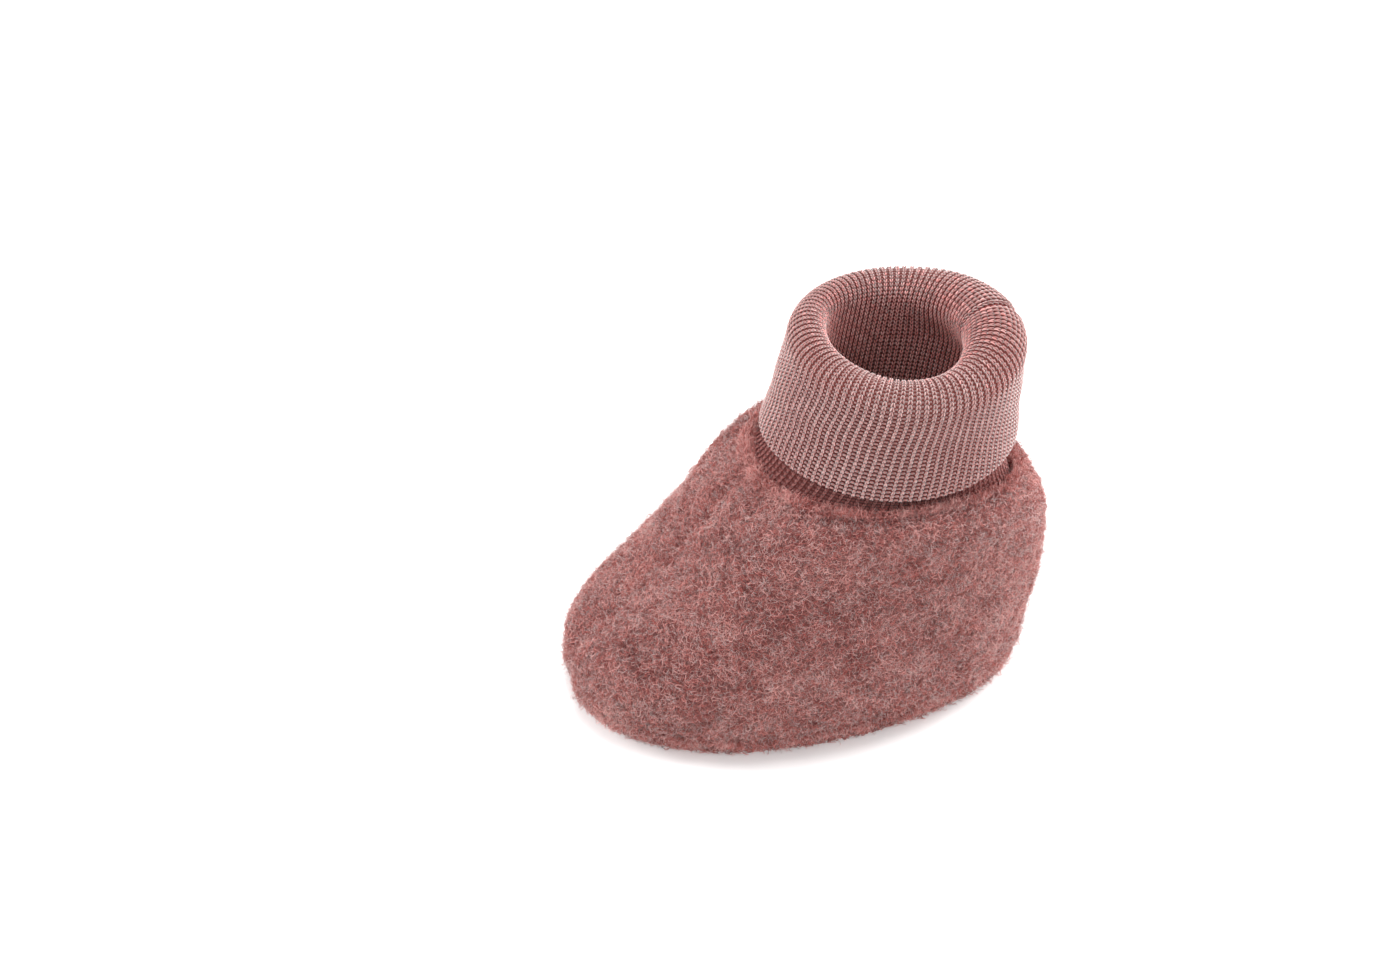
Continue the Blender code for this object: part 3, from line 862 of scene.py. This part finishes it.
def on_fabric(fabric, courses, angles, lift):
    """Points over the fabric, at a course and an angle, lifted off it."""
    row = np.clip(courses * ROWS_A_COURSE, 0, len(fabric.points) - 1.001)
    column = (angles % (2 * math.pi)) / (2 * math.pi) * FABRIC_COLUMNS
    low, left = row.astype(int), column.astype(int)
    up, along = (row - low)[..., None], (column - left)[..., None]
    left = left % FABRIC_COLUMNS
    place = low, left, (left + 1) % FABRIC_COLUMNS, up, along
    normals = unit(mixed(fabric.normals, *place))
    return mixed(fabric.points, *place) + normals * np.asarray(lift)[..., None], normals


RIB_ANGLE = 2 * math.pi / RIB_COUNT
WAVER = 0.006
FINE_WAVER = 0.003
CROWN_POWER = 1.3


def rib_sway(courses, angles, slant):
    """Sideways drift of the ribs, in radians: a slow waver, and a slant that grows with the course."""
    waver = WAVER * np.sin(0.14 * courses + 3 * angles)
    return waver + FINE_WAVER * np.sin(0.31 * courses - 7 * angles) + slant * courses


def rib_height(angles):
    """1 on the crown of a rib and 0 in the groove beside it."""
    return np.clip(0.5 - 0.5 * np.cos(angles * RIB_COUNT), 0, 1) ** CROWN_POWER


def pitch_at(fabric, courses, angles):
    """The distance between ribs at each course and angle."""
    flat = np.zeros(len(courses))
    one_side, _ = on_fabric(fabric, courses, angles - RIB_ANGLE / 2, flat)
    other_side, _ = on_fabric(fabric, courses, angles + RIB_ANGLE / 2, flat)
    return np.linalg.norm(other_side - one_side, axis=-1)[:, None]


STITCH_RISE = (-0.12, 1.08)  # courses: from the stitch below into the one above
STITCH_REACH_ASIDE = 0.29 * MM
OPEN_STITCH_REACH = 0.46 * MM  # where the fold stretches the knit
MOST_STITCH_REACH = 0.28  # of the distance between ribs
STITCH_FOOT = 0.18  # the legs meet to this share of their spread
STITCH_JITTER = 0.05
STITCH_LOFT = 0.02 * MM  # a stitch that slips along its rib also rises or sinks
YARN_RADIUS = 0.16 * MM
YARN_RADIUS_SHARE = 0.12  # at most, of the distance between ribs
YARN_TAPER = np.array((0, 0.88, 1.0, 0.88, 0))
YARN_ARCH = 1.5  # radii, like the sink of its ends
YARN_SINK = 0.5
YARN_UNEVENNESS = 0.07
YARN_STREAKS = 0.25
YARN_TONE_SCATTER = 0.45
YARN_LEG_TONE = 0.12  # one leg of each stitch is a little lighter
YARN_TONE_STEPS = (-0.45, 0.45)
SHADE_SPREAD = 4  # the shaded tones set in over about this many courses

PURL_POINTS = 4
PURL_MARGIN = 0.34 * MM  # from the groove's middle to the yarn of the ribs beside it
PURL_HALF_WIDTHS = (0.12, 0.36)  # least and most, of the distance between ribs
OPEN_PURL_HALF_WIDTH = 0.16
PURL_RADIUS = 0.30 * MM
OPEN_PURL_RADIUS = 0.18 * MM
PURL_RADIUS_SHARE = 0.15
PURL_BEND = 0.20
PURL_RISE = (0.5, 0.8)  # in radii: of its ends, and how much more of its middle
LIGHT_PURLS = 0.6
PURL_DROP = 0.26 * MM  # where the ribs crowd together or the fold opens the grooves
CROWDED_PITCH = 1.9 * MM
CROWDED_OVER = 0.4 * MM

FOLD_OPENS = 0.52  # as shares of the way from the hem to where the inside starts
FOLD_OPENS_OVER = 0.2
FOLD_CLOSES = 0.95


def fold_share(courses, inside_from):
    """0 on the straight knit and 1 where the fold stretches it open."""
    return smooth_share((courses / inside_from - FOLD_OPENS) / FOLD_OPENS_OVER)


def every(first, *others):
    """Each combination of the given values, as columns of equal length."""
    return (values.ravel() for values in np.meshgrid(first, *others, indexing="ij"))


def stitch_legs(fabric, slant, first_course, flip=False, inside_from=math.inf):
    """The two legs of each plain stitch on every rib: (paths, radii, up directions, tones)."""
    courses = np.arange(first_course, fabric.courses - 1)
    ribs = (np.arange(RIB_COUNT) + 0.5) * RIB_ANGLE
    course, rib, leg = every(courses, ribs, (-1.0, 1.0))
    share = np.linspace(0, 1, len(YARN_TAPER))[None, :]
    pitch = pitch_at(fabric, course, rib)
    opened = fold_share(course, inside_from)[:, None]
    reach = between(STITCH_REACH_ASIDE, OPEN_STITCH_REACH, opened) / pitch
    spread = between(STITCH_FOOT, 1.0, share) * np.minimum(reach, MOST_STITCH_REACH)
    if flip:
        spread = spread[:, ::-1]
    here = course[:, None] + between(*STITCH_RISE, share)
    angle = rib[:, None] + leg[:, None] * spread * RIB_ANGLE + rib_sway(here, rib[:, None], slant)
    jitter = RANDOM.normal(0, STITCH_JITTER, (len(course), 1))
    radius = np.minimum(YARN_RADIUS, YARN_RADIUS_SHARE * pitch)
    lift = radius * (YARN_ARCH * np.sin(share * math.pi) - YARN_SINK) + STITCH_LOFT * jitter
    paths, normals = on_fabric(fabric, here + jitter, angle, lift)
    radii = radius * YARN_TAPER * (1 + RANDOM.normal(0, YARN_UNEVENNESS, (len(course), 1)))
    streaks = YARN_STREAKS * np.sin(course * 1.7 + rib * 23)
    level = streaks + RANDOM.normal(0, YARN_TONE_SCATTER, len(course)) + YARN_LEG_TONE * leg
    # Past the start of the inside, the legs take the lighter tones of painted light for the shaded
    # inside
    shaded = course + RANDOM.normal(0, SHADE_SPREAD, len(course)) > inside_from
    tones = np.digitize(level, YARN_TONE_STEPS) + len(YARN_TONES) * shaded
    return paths, radii, normals[:, len(YARN_TAPER) // 2], tones


def purl_bars(fabric, slant, first_course, sink, inside_from=math.inf):
    """The bars that show in the grooves between the ribs: (paths, radii, up directions, tones)."""
    courses = np.arange(first_course, fabric.courses - 1) + 0.5
    course, groove = every(courses, np.arange(RIB_COUNT) * RIB_ANGLE)
    share = np.linspace(-1, 1, PURL_POINTS)[None, :]
    pitch = pitch_at(fabric, course, groove)
    closing = smooth_share(course / inside_from - FOLD_CLOSES)
    opened = (fold_share(course, inside_from) * (1 - closing))[:, None]
    least, most = PURL_HALF_WIDTHS
    half = np.clip(0.5 - PURL_MARGIN / pitch, least, between(most, OPEN_PURL_HALF_WIDTH, opened))
    angle = groove[:, None] + share * half * RIB_ANGLE
    angle = angle + rib_sway(course[:, None], groove[:, None], slant)
    here = course[:, None] + PURL_BEND * np.cos(share * math.pi)
    radius = between(PURL_RADIUS, OPEN_PURL_RADIUS, opened)
    radius = np.minimum(radius, PURL_RADIUS_SHARE * pitch)
    crowded = smooth_share((CROWDED_PITCH - pitch) / CROWDED_OVER)
    lift = -sink - PURL_DROP * np.maximum(crowded, opened)
    lift = lift + radius * (PURL_RISE[0] + PURL_RISE[1] * np.cos(share * math.pi / 2))
    paths, normals = on_fabric(fabric, here, angle, lift)
    radii = radius * np.array((0, 1.0, 1.0, 0))
    tones = (RANDOM.random(len(course)) < LIGHT_PURLS).astype(int)
    return paths, radii, normals[:, 1], tones


YARN_SIDES = 4


def add_yarns(name, made, materials, body, most):
    """Adds yarn pieces, split so that no piece has more than so many yarns."""
    paths, radii, ups, tones = made
    parts = math.ceil(len(paths) / most)
    for part in range(parts):
        chosen = slice(part * most, (part + 1) * most)
        piece_name = name if parts == 1 else f"{name}_{part + 1}"
        arrays = paths[chosen], radii[chosen], YARN_SIDES, ups[chosen]
        yarn = add_tubes(piece_name, *arrays, materials, tones[chosen])
        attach(yarn, body)


RELIEF_COLUMNS = RIB_COUNT * 6
MOST_LEGS = 8000  # in one piece
MOST_BARS = 12000


def ribbed_grid(fabric, rows, depth, slant):
    """The fabric's face with its ribs raised and its grooves sunk, as rows of points."""
    courses = np.linspace(0, fabric.courses, rows)
    course, angle = np.meshgrid(courses, full_turn(RELIEF_COLUMNS), indexing="ij")
    lift = depth * (rib_height(angle) - 1.0)
    swayed = angle + rib_sway(course, angle, slant)
    return on_fabric(fabric, course, swayed, lift)


# The cuff

HEM_ROUNDNESS = 1.0 * MM
FOLD_RELAX = 9.0 * MM  # below the mouth the inner wall widens over this height
POCKET_ROOM = 0.7 * MM  # the fold's hollow is this much narrower at its top
PINCH_DEPTH = 1.0 * MM
PINCH_SHARPNESS = 22
HEEL_BULGE = 1.2 * MM
HEEL_BULGE_ANGLE = math.radians(70)
HEEL_BULGE_SPREAD = math.radians(40)
BACK = math.pi / 2

# Where they run, as shares of the way from the hem over the fold to the inner wall's foot
PINCH_RUN = Window(start=0.1, rise=0.2, end=0.8, fall=0.15)
BULGE_RUN = Window(start=0.42, rise=0.14, end=0.6, fall=0.25)


def cuff_ovals():
    """The shown face of the cuff: up from the hem, over the fold and down inside to its foot."""
    ovals = []
    for turn in np.linspace(0, math.pi / 2, 5)[:-1]:
        inset = HEM_ROUNDNESS * (1 - math.sin(turn))
        wall = cuff_wall(HEM_HEIGHT + inset, inset * 0.8)
        ovals.append(wall._replace(height=HEM_HEIGHT + HEM_ROUNDNESS * (1 - math.cos(turn))))
    for height in np.linspace(HEM_HEIGHT + HEM_ROUNDNESS, FOLD_FOOT_HEIGHT, 24):
        ovals.append(cuff_wall(height, 0.0))
    for turn in np.linspace(0, math.pi, 25)[1:]:
        height = between(FOLD_FOOT_HEIGHT, FOLD_HEIGHT, math.sin(turn))
        across = (1 - math.cos(turn)) / 2
        size = blended(CUFF_AT_FOLD, MOUTH, across)
        reach, gather = across * MOUTH_RIGHT_REACH, across * MOUTH_GATHER
        ovals.append(oval_at(height, size, across * MOUTH_TOWARDS_TOE, reach, gather))
    for height in np.linspace(FOLD_FOOT_HEIGHT, INNER_WALL_FOOT, 24)[1:]:
        eased = smooth_share((FOLD_FOOT_HEIGHT - height) / FOLD_RELAX)
        size = blended(MOUTH, INNER_WALL, eased)
        reach = between(MOUTH_RIGHT_REACH, INNER_WALL_RIGHT_REACH, eased)
        ovals.append(oval_at(height, size, (1 - eased) * MOUTH_TOWARDS_TOE, reach, MOUTH_GATHER))
    return ovals


def turn_from(angles, place):
    """How far round the angles are from a place, -180 to 180 degrees in radians."""
    return (angles - place + math.pi) % (2 * math.pi) - math.pi


def cuff_shape(grid, angles):
    """The rib tube's own seam pinches the back, and the fold bulges into the mouth at the heel."""
    rows = np.linspace(0, 1, len(grid))[:, None]
    pinch = PINCH_DEPTH * bell(turn_from(angles, BACK) * PINCH_SHARPNESS)
    bulge = HEEL_BULGE * bell(turn_from(angles, HEEL_BULGE_ANGLE) / HEEL_BULGE_SPREAD)
    lift = bulge * within(BULGE_RUN, rows) - pinch * within(PINCH_RUN, rows)
    return grid + grid_normals(grid, closed_columns=True) * lift[..., None]


def closed_tube(shown, back):
    """One closed body from a shown face and the hidden face behind it, both as rows of points."""
    grid = np.concatenate((shown, back[::-1]))
    rows, columns = grid.shape[:2]
    return grid.reshape(-1, 3), grid_faces(rows, columns, closed_rows=True, closed_columns=True)


def pocket_rows():
    """The hidden face of the cuff, from the hem's inside up round the pocket and down to its foot."""
    pocket_inside = inset_by(INNER_WALL, -RIB)
    heights = np.linspace(HEM_HEIGHT + GAP, FOLD_FOOT_HEIGHT, 8)
    ovals = [cuff_wall(height, RIB) for height in heights]
    top_size = inset_by((CUFF_AT_MIDDLE[0], CUFF_AT_FOLD[1]), RIB + POCKET_ROOM)
    ovals.append(oval_at(POCKET_TOP, top_size))
    ovals.append(oval_at(POCKET_TOP, inset_by(pocket_inside, -POCKET_ROOM)))
    for height in np.linspace(POCKET_TOP - 1 * MM, INNER_WALL_FOOT, 6):
        ovals.append(oval_at(height, pocket_inside))
    return np.array([oval_points(oval, full_turn(RELIEF_COLUMNS)) for oval in ovals])


CUFF_SLANT = 0.0006  # radians a course
NECK_SLANT = 0.004
WALE_DEPTH = 0.42 * MM  # from the crown of a rib to the groove
CUFF_PURL_SINK = WALE_DEPTH * 0.7
INSIDE_STARTS = 0.57  # of the way from the hem to the inner wall's foot


def add_cuff():
    fabric = fabric_from(cuff_ovals(), cuff_shape)
    shown, _ = ribbed_grid(fabric, fabric.courses * 2 + 1, WALE_DEPTH, CUFF_SLANT)
    points, faces = closed_tube(shown, pocket_rows())
    cuff = add_mesh("rib_cuff", points, faces, [RIB_SHADE_GROUND])
    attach(cuff, "cuff")
    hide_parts("cuff_turnover")
    inside_from = INSIDE_STARTS * fabric.courses
    legs = stitch_legs(fabric, CUFF_SLANT, 1, True, inside_from)
    add_yarns("cuff_stitches", legs, YARN_TONES + SHADED_YARN_TONES, "cuff", MOST_LEGS)
    bars = purl_bars(fabric, CUFF_SLANT, 1, CUFF_PURL_SINK, inside_from)
    add_yarns("cuff_purl_bars", bars, PURL_SHADE_TONES, "cuff", MOST_BARS)
    add_cuff_seam(fabric)


SEAM_RUN = (0.12, 0.86)  # of the way from the hem to the inner wall's foot
SEAM_STITCH_STEP = 0.7  # courses
SEAM_STITCH_REACH = 0.75
SEAM_STITCH_SLOPE = 0.010
SEAM_STITCH_LIFT = 0.15 * MM
SEAM_STITCH_ARCH = 0.12 * MM
SEAM_YARN_RADIUS = 0.19 * MM


def add_cuff_seam(fabric):
    """The seam that closes the rib tube: slanting stitches down in its pinch."""
    first, last = (int(fabric.courses * share) for share in SEAM_RUN)
    courses = np.arange(first, last, SEAM_STITCH_STEP)
    share = np.linspace(-1, 1, 5)[None, :]
    here = courses[:, None] + SEAM_STITCH_REACH * share
    slope = np.where(np.arange(len(courses)) % 2, 1.0, -1.0)[:, None]
    angle = BACK + SEAM_STITCH_SLOPE * slope * share + rib_sway(here, BACK, CUFF_SLANT)
    lift = SEAM_STITCH_LIFT + SEAM_STITCH_ARCH * np.cos(share * math.pi / 2) + 0 * here
    paths, normals = on_fabric(fabric, here, angle, lift)
    radii = SEAM_YARN_RADIUS * np.array((0, 1, 1, 1, 0))
    arrays = paths, radii, YARN_SIDES, normals[:, 2]
    seam = add_tubes("cuff_seam_stitches", *arrays, [SEAM_YARN], 0 * courses)
    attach(seam, "cuff")


# The neck

NECK_SINK = 0.25 * MM  # its knit lies this deep under the surface that clears the cuff
NECK_WALE_DEPTH = WALE_DEPTH * 0.8
NECK_PURL_SINK = WALE_DEPTH * 0.75
NECK_BACK_WALES = 0.35 * MM
NECK_ROOM = 3 * GAP  # inside the fleece edge
NECK_FIRST_COURSE = 3
NECK_HEM_LIFT = 0.6 * MM


def neck_wall(height):
    """The neck inside the cuff, clear of every part of the cuff that slides past it."""
    oval = cuff_wall(min(height, FOLD_FOOT_HEIGHT), RIB + SLIDING_GAP)
    narrowest = CUFF_AT_MIDDLE[0] - RIB - SLIDING_GAP
    return oval._replace(height=height, half_width=min(oval.half_width, narrowest))


def neck_ovals():
    """The outer face of the rib neck, from inside the ankle seam up into the fold."""
    ankle = FLEECE_RINGS[-1]
    half_width = HALF_WIDTH * ankle.width - NECK_ROOM
    half_length = HALF_LENGTH * (ankle.toe + ankle.heel) / 2 - NECK_ROOM
    end_height = (ankle.toe_height + ankle.heel_height) / 2
    tilt = ANKLE_HEIGHT * (ankle.toe_height - ankle.heel_height) / 2
    saddle = ANKLE_HEIGHT * (end_height - ankle.side_height) / 2
    seam = Oval(ANKLE_HEIGHT * ankle.side_height + saddle, half_width, half_length, tilt, saddle)
    foot_size = inset_by(seam[1:3], NECK_FOOT_INSET)
    foot = Oval(seam.height - NECK_FOOT_BELOW_SEAM, *foot_size, tilt, saddle)
    hem = neck_wall(HEM_HEIGHT + NECK_HEM_LIFT)
    ovals = [foot, seam]
    for share in (0.35, 0.7):
        eased = 1 - (1 - share) ** 2
        size = blended(seam[1:3], hem[1:3], eased)
        lean = blended(seam[3:5], hem[3:5], share)
        ovals.append(Oval(between(seam.height, hem.height, share), *size, *lean))
    return ovals + [neck_wall(height) for height in np.linspace(hem.height, NECK_TOP, 16)]


def add_neck():
    fabric = fabric_from(neck_ovals())
    shown, normals = ribbed_grid(fabric, fabric.courses * 2 + 1, NECK_WALE_DEPTH, NECK_SLANT)
    back, back_normals = ribbed_grid(fabric, fabric.courses + 1, 0.0, NECK_SLANT)
    thickness = RIB - NECK_BACK_WALES * rib_height(full_turn(RELIEF_COLUMNS))
    back = back - back_normals * thickness[None, :, None]
    points, faces = closed_tube(shown - normals * NECK_SINK, back)
    neck = add_mesh("rib_neck", points, faces, [RIB_SHADE_GROUND])
    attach(neck, "foot")
    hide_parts("ankle_rib")
    paths, radii, ups, tones = stitch_legs(fabric, NECK_SLANT, NECK_FIRST_COURSE)
    paths = paths - ups[:, None, :] * NECK_SINK
    add_yarns("neck_stitches", (paths, radii, ups, tones), NECK_SHADE_TONES, "foot", MOST_LEGS)
    paths, radii, ups, tones = purl_bars(fabric, NECK_SLANT, NECK_FIRST_COURSE, NECK_PURL_SINK)
    paths = paths - ups[:, None, :] * NECK_SINK
    add_yarns("neck_purl_bars", (paths, radii, ups, 0 * tones), [NECK_SHADE_PURL], "foot", MOST_BARS)


# Seam threads, inside the foot


def keep_threads():
    for node in ("front_seam_thread", "back_seam_thread", "sole_seam_thread", "ankle_seam_thread"):
        obj = frame["nodes"][node]
        if not obj.material_slots:
            obj.data.materials.append(THREAD)
        for material_slot in obj.material_slots:
            material_slot.material = THREAD


# Floor, light and camera

FLOOR_SIZE = 6.0
FLOOR_COLOUR = (0.93, 0.93, 0.93, 1.0)
WHITE = (1.0, 1.0, 1.0, 1.0)
FLOOR_GLOW = 0.25  # lightens the shadow to what the photograph shows
WORLD_STRENGTH = 0.78
LIGHT_AIM = Vector((0, 0, 0.04))
Lamp = namedtuple("Lamp", "name place size watts")
LAMPS = (
    Lamp("top_light", (-0.1, 0.1, 1.3), 0.9, 10.0),
    Lamp("low_front_light", (1.2, 0.35, 0.3), 0.9, 4.0),
    Lamp("heel_side_light", (-0.5, 1.3, 0.55), 0.8, 25.0),
    Lamp("toe_side_light", (-0.7, -1.2, 0.55), 0.7, 14.0),
)
CAMERA_AZIMUTH = math.radians(75)
CAMERA_ELEVATION = math.radians(36)
CAMERA_DISTANCE = 0.710
CAMERA_LENS = 86.2  # millimetres, like the sensor's width
CAMERA_SENSOR = 36.0
CAMERA_ASIDE = -21.8 * MM  # the bootie stands to the right of the picture's middle
CAMERA_ABOVE = 37.7 * MM


def add_floor():
    bpy.ops.mesh.primitive_plane_add(size=FLOOR_SIZE, location=(0, 0, 0))
    floor = bpy.context.object
    floor.name = "floor"
    material, _, shader = new_material("pale_floor")
    set_inputs(shader, {"Base Color": FLOOR_COLOUR, "Roughness": 0.9, "Specular IOR Level": 0.0})
    set_inputs(shader, {"Emission Color": WHITE, "Emission Strength": FLOOR_GLOW})
    floor.data.materials.append(material)


def add_lamp(lamp):
    light = bpy.data.lights.new(lamp.name, "AREA")
    light.shape = "DISK"
    light.size = lamp.size
    light.energy = lamp.watts
    obj = add_object(lamp.name, light)
    obj.location = lamp.place
    obj.rotation_euler = (LIGHT_AIM - obj.location).to_track_quat("-Z", "Y").to_euler()


def add_light():
    world = bpy.data.worlds.new("studio")
    world.use_nodes = True
    set_inputs(world.node_tree.nodes["Background"], {"Color": WHITE, "Strength": WORLD_STRENGTH})
    bpy.context.scene.world = world
    for lamp in LAMPS:
        add_lamp(lamp)


def add_camera():
    sine, cosine = math.sin(CAMERA_AZIMUTH), math.cos(CAMERA_AZIMUTH)
    level = math.cos(CAMERA_ELEVATION)
    away = Vector((sine * level, -cosine * level, math.sin(CAMERA_ELEVATION)))
    right = Vector((cosine, sine, 0))
    up = away.cross(right)
    data = bpy.data.cameras.new("camera")
    data.lens = CAMERA_LENS
    data.sensor_width = CAMERA_SENSOR
    data.clip_start = 0.01
    camera = add_object("camera", data)
    turn = Matrix((right, up, away)).transposed().to_4x4()
    place = away * CAMERA_DISTANCE + right * CAMERA_ASIDE + up * CAMERA_ABOVE
    camera.matrix_world = Matrix.Translation(place) @ turn
    bpy.context.scene.camera = camera


add_camera()
dress_fleece()
add_cuff()
add_neck()
keep_threads()
add_floor()
add_light()
bpy.context.scene.view_settings.view_transform = "Standard"
